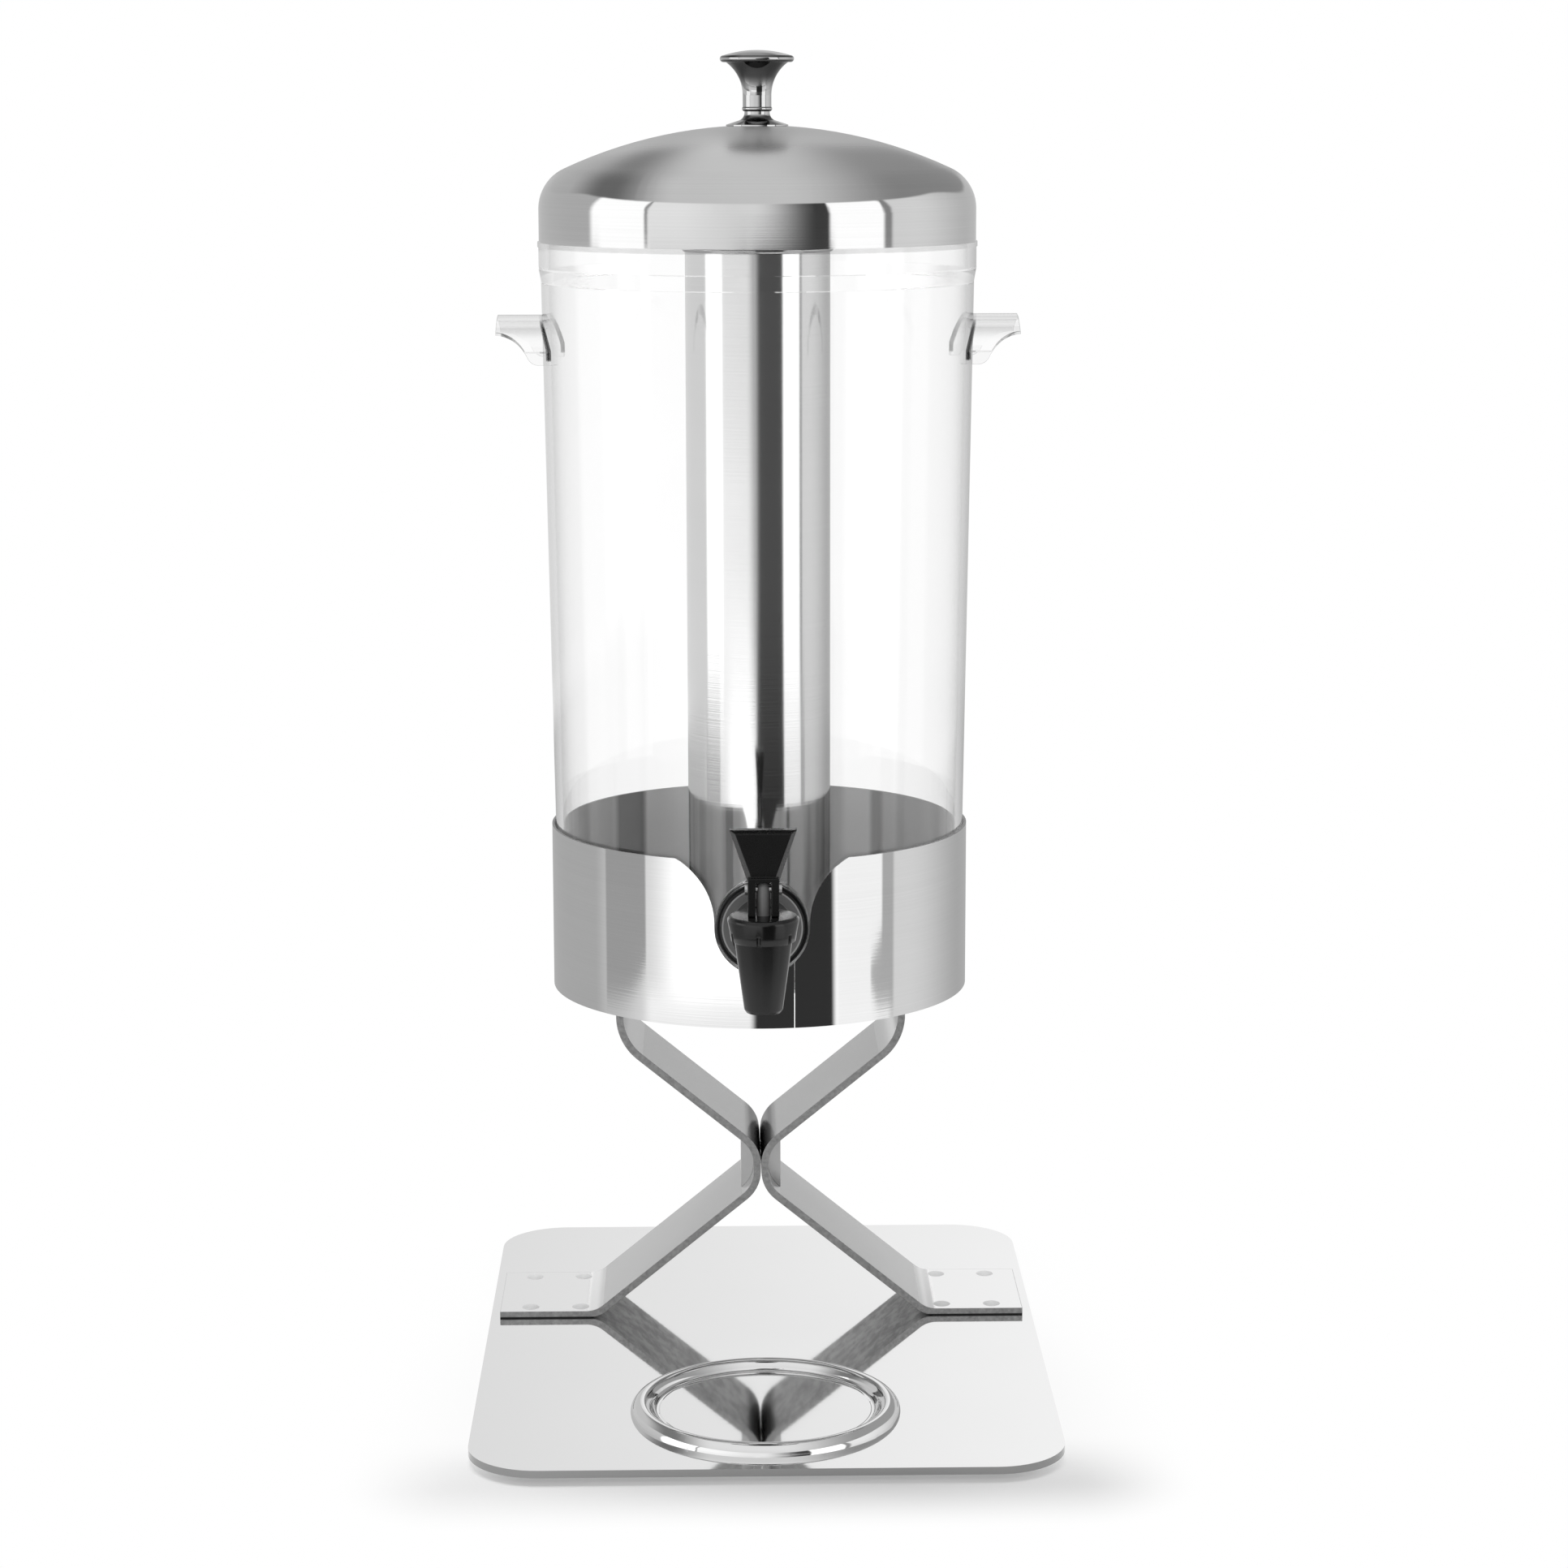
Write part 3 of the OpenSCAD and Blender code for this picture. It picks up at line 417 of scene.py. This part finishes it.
rivet_steel = satin_steel("rivet_steel", tone=0.80, rough=0.45, metal=0.35)
screw_steel = satin_steel("screw_steel", tone=0.60, rough=0.28)
block_steel = satin_steel("block_steel", tone=0.50, rough=0.26)
print("satin steels ready")

# %% [markdown]
# ## Grey places in the handles
# A handle is a clear hood. Where the eye looks along its plastic, under the lip and most of all at
# the root, it turns grey or nearly black. A renderer needs very many bounces to find that by
# itself, so the tint is given by height and by the distance from the column's axis.

# %% Tint of the handles
handle_low, handle_top = (corner[2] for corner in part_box("left_handle"))
root_ring = (0.0900, 0.0906)
root_low = (handle_low + 0.0012, handle_low + 0.0022)
root_high = (handle_top - 0.0050, handle_top - 0.0020)
lip_low = (handle_top - 0.0105, handle_top - 0.0046)
lip_high = (handle_top - 0.0044, handle_top - 0.0041)


def handle_tint(finish, clear, x, y, z):
    root = 1 - length(x, y - column_y).step(*root_ring)
    root = root * z.step(*root_low) * (1 - 0.6 * z.step(*root_high))
    under_lip = z.step(*lip_low) - z.step(*lip_high)
    return finish.blend(root, finish.blend(0.45 * under_lip, clear, 0.55), 0.03)


print("handles from", round(handle_low, 4), "to", round(handle_top, 4), "m")

# %% [markdown]
# ## Clear moulding
# The container and its handles are moulded in clear plastic. A real refracting shader bends what is
# behind the thick rim and the handles, and a very faint haze and ripple stand for the moulding's
# own unevenness. Where the eye skims along a wall it looks through a lot of plastic, so that turns
# grey. The step below the rim is moulded so softly that it hardly bends the view, so its front is
# left open. A ray that comes off the steel would cross many clear walls and run out of bounces on
# its way, so for those rays, and for those to a lamp, the plastic is simply open. That is how the
# inside of the collar stays bright. Only the handles keep a faint outline there, which the tube
# mirrors.

# %% Clear plastic
rim_top, rim_lip, rim_soft = 0.45893, 0.0020, 0.0002
step_low, step_high, step_soft = rim_top - 0.0166, rim_top - 0.0104, 0.0003
wall_clear, skimmed_grey, outline_grey = 0.97, 0.42, 0.60


def clear_plastic(name, rim=False, handle=False):
    finish, place, (x, y, z) = new_finish(name)
    flow = finish.noise(finish.vector(x * 6.0, y * 6.0, z * 1.5), scale=3.0)
    haze = finish.noise(place, scale=35.0)
    turned_away = finish.add("ShaderNodeLayerWeight", {}, {"Blend": 0.5}, out="Facing")
    skimmed = turned_away.step(0.62, 1.0)
    # Along the rim's top, a painted grey band stands for the darkening that the thick rim's
    # refraction shows: painted shade.
    if rim:
        skimmed = skimmed.larger(0.45 * z.band(rim_top - rim_lip, rim_top, rim_soft))
    clear = finish.blend(skimmed, finish.blend(haze, 0.985, 1.0), skimmed_grey)
    if handle:
        clear = handle_tint(finish, clear, x, y, z)
    plastic = finish.principled(
        Base_Color=clear,
        Roughness=0.004 + 0.012 * haze,
        Normal=finish.bump(flow, 0.02, 0.001),
        IOR=1.49,
        Transmission_Weight=1.0,
    )
    opened = finish.see_through(wall_clear)
    mirrored = opened
    if handle:
        outline = turned_away.step(0.70, 0.95)
        mirrored = finish.mixed(outline, opened, finish.see_through(outline_grey))
    if rim:
        front = 1 - turned_away.step(0.35, 0.70)
        slope = z.band(step_low, step_high, step_soft)
        plastic = finish.mixed(slope * front, plastic, finish.see_through(1.0))
    off_steel = finish.add("ShaderNodeLightPath", out="Is Reflection Ray")
    to_lamp = finish.add("ShaderNodeLightPath", out="Is Shadow Ray")
    return finish.finished(
        finish.mixed(to_lamp, finish.mixed(off_steel, plastic, mirrored), opened))


container_clear = clear_plastic("container_clear", rim=True)
handle_clear = clear_plastic("handle_clear", handle=True)
print("clear plastic ready")

# %% [markdown]
# ## The tap's flange
# Round the tap's hub, the flange's flat face catches the light and ends in a thin bright line. It
# is the same black plastic as the rest of the tap, so it isn't a piece of its own: a ring round the
# tap's axis paints that light into the front of the flange, and a thinner ring paints the bright
# line, as painted light and a painted highlight.

# %% Painted light and highlight on the flange
gasket_low, gasket_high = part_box("outer_gasket")
tap_axis_z = (gasket_low[2] + gasket_high[2]) / 2
flange_y = gasket_low[1] - 0.0034
flange_front = (flange_y - 0.0006, flange_y - 0.0003)
face_end, highlight_low, highlight_high, highlight_soft = (0.0156, 0.0160), 0.0157, 0.0163, 0.0002


def paint_flange_light(finish, colour, x, y, z, look_y, tone):
    from_tap = length(x, z - tap_axis_z)
    on_flange = y.step(*flange_front) * (0.0 - look_y).step(0.80, 0.95)
    # Painted light on the flange's face, then a painted highlight line near its edge.
    colour = finish.blend(on_flange * (1 - from_tap.step(*face_end)), colour, tone)
    return finish.blend(on_flange * from_tap.band(highlight_low, highlight_high, highlight_soft), colour, 0.55)


print("tap axis at", round(tap_axis_z, 4), "m")

# %% [markdown]
# ## Black and soft mouldings
# The tap is black gloss plastic with a fine moulding texture. The stem is a duller grey, the inner
# gasket and the valve's parts are silicone, and the outer gasket and the pads are black rubber. One
# function makes them all, because they differ only in tone, gloss and the depth of their texture.
# The lever's sides are painted lighter than its front: painted light.

# %% Tap plastics, silicone and rubber
skin_depth, moulded_corner = 0.0001, 0.0007


def moulded(name, low, high, rough, texture, gloss, side_painted_light=None, flange_painted_light=None):
    finish, place, (x, y, z) = new_finish(name)
    look_x, look_y, _ = facing(finish)
    skin = finish.noise(place, scale=1500.0)
    clouds = finish.noise(place, scale=70.0)
    colour = finish.blend(clouds, low, high)
    # Painted light: faces that look sideways are lighter than the front.
    if side_painted_light:
        colour = finish.blend(look_x.size().step(0.15, 0.45), colour, side_painted_light)
    if flange_painted_light:
        colour = paint_flange_light(finish, colour, x, y, z, look_y, flange_painted_light)
    return finish.finished(finish.principled(
        Base_Color=colour,
        Roughness=rough + 0.10 * clouds + 0.08 * skin,
        Normal=finish.bump(skin, texture, skin_depth, edge=moulded_corner),
        Specular_IOR_Level=gloss,
    ))


tap_black = moulded(
    "tap_black", low=0.004, high=0.008, rough=0.08, texture=0.03, gloss=0.45, flange_painted_light=0.22)
lever_black = moulded(
    "lever_black", low=0.003, high=0.006, rough=0.18, texture=0.06, gloss=0.30, side_painted_light=0.08)
stem_grey = moulded("stem_grey", low=0.26, high=0.33, rough=0.30, texture=0.06, gloss=0.5)
valve_silicone = moulded("valve_silicone", low=0.60, high=0.70, rough=0.45, texture=0.05, gloss=0.5)
pad_rubber = moulded("pad_rubber", low=0.025, high=0.045, rough=0.60, texture=0.25, gloss=0.4)
print("mouldings ready")

# %% [markdown]
# ## Handing out the finishes
# Each solid gets the finish of its own trade, and all but the tap's cap keep their shape. The list
# is short enough to read as the dispenser's bill of materials.

# %% Finish of every solid
finishes = {
    "base_plate": plate_mirror, "drip_dish": dish_mirror, "rubber_feet": pad_rubber,
    "left_leg": leg_steel, "right_leg": leg_steel,
    "left_clamp_block": block_steel, "right_clamp_block": block_steel,
    "foot_rivets": rivet_steel, "flange_rivets": rivet_steel, "clamp_screws": screw_steel,
    "collar": collar_steel, "collar_floor": floor_steel,
    "container": container_clear, "tube_spigot": container_clear,
    "left_handle": handle_clear, "right_handle": handle_clear,
    "ice_tube": tube_steel, "ice_tube_base": tube_steel,
    "lid_shell": lid_steel, "lid_knob": knob_chrome,
    "knob_screw": screw_steel, "knob_washer": screw_steel,
    "tap_body": tap_black, "tap_bonnet": tap_black, "tap_nut": tap_black, "tap_lever": lever_black,
    "outer_gasket": pad_rubber, "inner_gasket": valve_silicone, "valve_diaphragm": valve_silicone,
    "valve_plug": valve_silicone, "valve_stem": stem_grey, "lever_pin": screw_steel,
}
for name, finish in finishes.items():
    mesh = nodes[name].data
    mesh.materials.clear()
    mesh.materials.append(finish)
print("finishes given to", len(finishes), "of", len(nodes), "solids")

# %% [markdown]
# ## Outline of the tap's cap
# Close up, the cap over the valve is one tapered cup with a rounded shoulder and six short notches
# in its lower edge. It stands for the plainer solid cap and fills the same space, so its outline is
# measured from that solid's box, as pairs of a radius and a height.

# %% Cap outline
low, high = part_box("tap_bonnet")
stem_low, stem_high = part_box("valve_stem")
cap_r = (high[0] - low[0]) / 2
cap_low, cap_top = low[2], high[2]
cap_hole = (stem_high[0] - stem_low[0]) / 2 + 0.0001
cap_in, cap_roof = cap_r - 0.0028, cap_top - 0.0026
shoulder, shoulder_steps = 0.0018, 5
notch_top, notch_deep = cap_low + 0.0038, 0.0010

outline = [(cap_in, cap_low), (cap_r - 0.0016, cap_low), (cap_r - 0.0013, cap_low + 0.0004)]
outline += [(cap_r - 0.0009, notch_top - 0.0001), (cap_r - 0.0009, notch_top)]
for i in range(shoulder_steps + 1):
    bow = math.radians(90.0 * i / shoulder_steps)
    inset, drop = shoulder * (1 - math.cos(bow)), shoulder * (1 - math.sin(bow))
    outline.append((cap_r - inset, cap_top - drop))
outline += [(cap_hole, cap_top), (cap_hole, cap_roof), (cap_in, cap_roof)]
print("outline:", len(outline), "points")

# %% [markdown]
# ## Turning the cap
# The notches could be cut out of a plain cup, but cuts leave ragged faces. Here the outline is
# turned round the tap's axis, point by point, and each notch simply pulls the lower points of
# three columns inwards, so the mesh stays closed and even.

# %% Turned cap with notches
cap_columns, cap_notches, notch_columns, notch_from = 180, 6, 3, 129.5
notch_skin = 0.0008


def turned_cap(name, outline, centre):
    mesh = bmesh.new()
    rings = []
    for i in range(cap_columns):
        angle = 2.0 * math.pi * (i + notch_from) / cap_columns
        notched = i % (cap_columns // cap_notches) < notch_columns
        ring = []
        for radius, height in outline:
            if notched and height < notch_top and radius > outline[0][0] + notch_skin:
                radius -= notch_deep
            x, y = centre[0] + radius * math.cos(angle), centre[1] + radius * math.sin(angle)
            ring.append(mesh.verts.new((x, y, height)))
        rings.append(ring)
    for i in range(cap_columns):
        for j in range(len(outline)):
            k = (j + 1) % len(outline)
            mesh.faces.new((rings[i - 1][j], rings[i][j], rings[i][k], rings[i - 1][k]))
    bmesh.ops.recalc_face_normals(mesh, faces=mesh.faces)
    data = bpy.data.meshes.new(name)
    mesh.to_mesh(data)
    mesh.free()
    data.shade_smooth()
    data.set_sharp_from_angle(angle=math.radians(32.0))
    piece = bpy.data.objects.new(name, data)
    bpy.context.scene.collection.objects.link(piece)
    return piece


cap = turned_cap("tap_cap", outline, (0.0, (low[1] + high[1]) / 2))
cap.data.materials.append(tap_black)
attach(cap, "container")
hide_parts("tap_bonnet")
print("cap:", len(cap.data.vertices), "points")

# %% [markdown]
# ## The studio floor
# The dispenser stands on a white sweep. A round floor is enough: where it ends, the white of the
# studio goes on. Close to the plate's front the floor is mostly white board, which takes a faint
# shadow, and a few centimetres out it is plain white, so no edge shows.

# %% Floor
floor_radius = 0.40
shadow_reach = 0.05
shadow_share = 0.95
share_behind = 0.15

mesh = bmesh.new()
bmesh.ops.create_circle(mesh, cap_ends=True, radius=floor_radius, segments=96)
data = bpy.data.meshes.new("studio_floor")
mesh.to_mesh(data)
mesh.free()
floor = bpy.data.objects.new("studio_floor", data)
bpy.context.scene.collection.objects.link(floor)

finish, place, (x, y, _) = new_finish("white_board")
plate_low, plate_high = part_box("base_plate")
beside_x = (x.size() - plate_high[0]).larger(0.0)
beside_y = (y.size() - plate_high[1]).larger(0.0)
near = 1 - length(beside_x, beside_y).step(0.0, shadow_reach)
in_front = 1 - y.step(plate_low[1] - 0.01, plate_low[1] + 0.05)
board_share = shadow_share * over(share_behind, in_front, 1.0) * near
board_colour = finish.blend(finish.noise(place, scale=40.0), 0.90, 0.92)
board = finish.add("ShaderNodeBsdfDiffuse", {}, {"Color": board_colour})
white = finish.add("ShaderNodeEmission", {}, {"Color": grey(1.0), "Strength": 1.0})
floor.data.materials.append(finish.finished(finish.mixed(1 - board_share, board, white)))
print("floor radius", floor_radius, "m")

# %% [markdown]
# ## Light
# Two large soft lamps hang behind the dispenser, left and right, so that its shadow falls forward
# in front of the plate. They are kept out of reflections: what the steel mirrors is the studio
# itself, which the next cells paint.

# %% Lamps
lamp_side, lamp_back, lamp_height, lamp_size = 0.45, 1.4, 2.1, 1.0
lamp_aim = Vector((0.0, 0.0, 0.2))


def soft_lamp(name, x, watts):
    data = bpy.data.lights.new(name, "AREA")
    data.shape = "DISK"
    data.size = lamp_size
    data.energy = watts
    lamp = bpy.data.objects.new(name, data)
    lamp.location = (x, lamp_back, lamp_height)
    lamp.rotation_euler = (lamp_aim - lamp.location).to_track_quat("-Z", "Y").to_euler()
    lamp.visible_glossy = False
    lamp.visible_transmission = False
    bpy.context.scene.collection.objects.link(lamp)


soft_lamp("left_lamp", -lamp_side, watts=30.0)
soft_lamp("right_lamp", lamp_side, watts=15.0)
print("lamps set")

# %% [markdown]
# ## The studio that the steel mirrors
# Polished steel has no colour of its own: it shows the room. Lit boards around the dispenser would
# do, but they would also stand in the way of the other views. So the room is painted by direction:
# turn is the angle away from the camera's side, positive to the right, rise the angle above the
# horizon, and lean the way that a mirror would have to face, left or right, to show that place to
# someone in front, all in degrees. The camera itself always sees plain white, and only a ray that
# has left polished steel sees the paint.

# %% Directions in the room
world = bpy.data.worlds.new("studio")
bpy.context.scene.world = world
room = Finish(world)
x, y, z = room.parts(room.add("ShaderNodeTexCoord", {}, {}, out="Generated"))
degrees = 180.0 / math.pi
turn = x.math("ARCTAN2", x, -1.0 * y) * degrees
rise = z.math("ARCSINE", z) * degrees
behind = 180.0 - turn.size()
lean = x.math("ARCTAN2", x, 1.0 - y) * degrees

ray = room.add("ShaderNodeLightPath").socket.node.outputs
walls_crossed = Value(room, ray["Transmission Depth"]) + Value(room, ray["Transparent Depth"])
crossed = walls_crossed.step(0.4, 0.6)
mirrored = Value(room, ray["Glossy Depth"]).step(0.4, 0.6)
print("room directions ready")

# %% [markdown]
# Two white flats stand left and right of the camera, the camera's own place is a dark gap between
# them, and grey walls follow behind the flats. The tube and the collar are seen from above, so they
# mirror what lies below the horizon. The collar is seen from higher than the tube and mirrors a
# deeper part, where the same edges stand a few degrees further on, so many numbers are a pair: one
# for the tube and one for the collar.

# %% Walls and gap
flat_white = 1.60
deep = 1 - rise.step(-10.0, -8.8)
shallow = 1 - deep


def by_depth(tube, collar):
    """A number that goes from the tube's part of the room to the collar's."""
    return over(tube, deep, collar)


left_side = 1 - turn.step(-100.0, -95.0)
right_side = (turn + by_depth(tube=8.0, collar=2.0)).step(76.0, 80.0)
right_line = (turn + by_depth(tube=8.0, collar=0.0)).band(76.5, 81.5, 1.5)
right_wall = by_depth(tube=0.90, collar=0.78) - 0.33 * turn.step(86.0, 147.0)

gap_starts = turn.step(by_depth(tube=-20.0, collar=-7.0), by_depth(tube=4.0, collar=-2.0))
gap_ends = turn.step(by_depth(tube=37.0, collar=39.0), by_depth(tube=41.0, collar=43.0))
gap = gap_starts - gap_ends
gap_tone = by_depth(tube=0.09, collar=0.035)
print("walls and gap ready")

# %% [markdown]
# The collar also mirrors a grey card beside each flat. The left card's foot rises in a curve, and
# the right card's near edge bulges out above its foot. Both are drawn as masks of turn and rise.

# %% Grey cards
card_soft = 0.8
card_from, card_to, card_low = -94.7, -66.2, -13.74
card_foot = 0.54 * ((turn - card_from) / (card_to - card_from)) ** 4.0 + card_low
left_card = turn.band(card_from, card_to, card_soft) * deep
left_card = left_card * (rise - card_foot).step(-0.05, 0.05)

near_edge = 70.5 - 7.5 * rise.band(-13.80, -12.95, 0.35)
right_card = turn.step(near_edge - card_soft, near_edge + card_soft) - turn.step(77.2, 79.7)
right_card = right_card * deep * rise.step(-13.95, -13.80)
print("cards ready")

# %% [markdown]
# Now the part below the horizon is painted, one tone over the other, as a painter lays in a
# backdrop: the flats, their shaded foot, the walls, the cards, the gap and last the ground.

# %% Below the horizon
tube_flat = 1.20 - 0.25 * rise.step(-8.0, -3.0)
left_wall = 0.46 + 0.14 * turn.step(-105.0, -92.0) + 0.25 * turn.step(-92.0, -60.0)
flat_foot = (1 - rise.step(-13.75, -13.60)) * turn.band(-66.0, -3.0, 4.0)
foot_tone = 1.00 + 0.22 * rise.step(-14.25, -13.65)
ground = over(0.035, turn.size().step(35.0, 80.0), tone=0.50)

below = over(flat_white, turn.band(-59.0, -6.0, 2.0) * shallow, tube_flat)
below = over(below, turn.step(39.0, 44.0) * deep, tone=1.10)
below = over(below, (1 - turn.step(-94.0, -89.0)) * shallow, tone=0.78)
below = over(below, (1 - turn.step(-66.0, -36.0)) * deep, left_wall)
below = over(below, left_card, tone=0.38)
below = over(below, flat_foot, foot_tone)
below = over(below, right_side, right_wall)
below = over(below, right_line * shallow, tone=0.45)
below = over(below, right_card, tone=0.48)
below = over(below, gap, gap_tone)
below = over(below, 1 - rise.step(-30.0, -18.0), ground)
print("lower part painted")

# %% [markdown]
# The lid's skirt is seen level, so it mirrors what stands at the camera's own height. There the
# gap fades in slowly from the left and ends sharply at the right flat, and thin dark lines close
# the flats off.

# %% Level with the lid
fade = 1.19 - 0.19 * turn.step(-45.0, -10.0) - 0.93 * turn.step(-4.0, 31.0)
straight_behind = 1 - behind.step(20.0, 32.0)

level_with = over(flat_white, left_side, tone=0.61)
level_with = over(level_with, right_side, 1.10 * right_wall)
level_with = over(level_with, right_line, tone=0.34)
level_with = over(level_with, turn.band(-60.5, 37.0, 1.2), fade)
level_with = over(level_with, turn.band(-61.5, -59.5, 0.8), tone=0.42)
level_with = over(level_with, straight_behind, tone=0.60)
print("level part painted")

# %% [markdown]
# The dome and the plate mirror the ceiling, which has a bright strip over the middle and a paler
# left end. A flat behind the dispenser brightens the plate. The three heights are then joined:
# level meets below just under the horizon, a little higher for a ray that crossed the plastic.

# %% Ceiling, and the three heights together
ceiling = over(0.34, 1 - lean.step(-20.0, 0.0), tone=0.20)
ceiling = over(ceiling, 1 - lean.step(-62.0, -46.0), tone=0.58)
ceiling = over(ceiling, lean.step(-42.0, -22.0) - lean.step(6.0, 42.0), tone=0.83)
back_flat = (1 - x.size().step(0.09, 0.13)) * (1 - rise.step(23.0, 28.0)) * straight_behind
ceiling = over(ceiling, back_flat, 0.86 + 1.2 * x)

flat_top = over(12.0, behind.step(30.0, 70.0), 26.0)
paint = over(below, (rise - 5.0 * crossed).step(-2.34, -2.28), level_with)
paint = over(paint, (rise - flat_top).step(-2.0, 2.0), ceiling)
print("room painted")

# %% [markdown]
# Light Path tells what kind of ray asks. A ray off a gloss sees the paint. A ray that only crossed
# the plastic sees a white board behind the dispenser and a dimmer room around it, so a thick edge
# that bends the view sideways draws itself as a grey line, as clear things do in front of a light
# table. Soft light on dull surfaces comes from a plain pale room.

# %% World
soft_light, dim_room = 0.55, 0.80
seen = Value(room, ray["Is Camera Ray"]).larger(Value(room, ray["Is Glossy Ray"]))
seen = seen.larger(Value(room, ray["Is Transmission Ray"]))
back_board = (1 - behind.step(18.0, 40.0)) * rise.band(-60.0, 60.0, 15.0)
shown = over(1.0, crossed, over(dim_room, back_board, 1.0))
strength = over(soft_light, seen, over(shown, mirrored, paint))
background = room.add("ShaderNodeBackground", {}, {"Color": grey(1.0), "Strength": strength})
room.add("ShaderNodeOutputWorld", {}, {"Surface": background})
bpy.context.scene.view_settings.view_transform = "Standard"
print("studio ready")
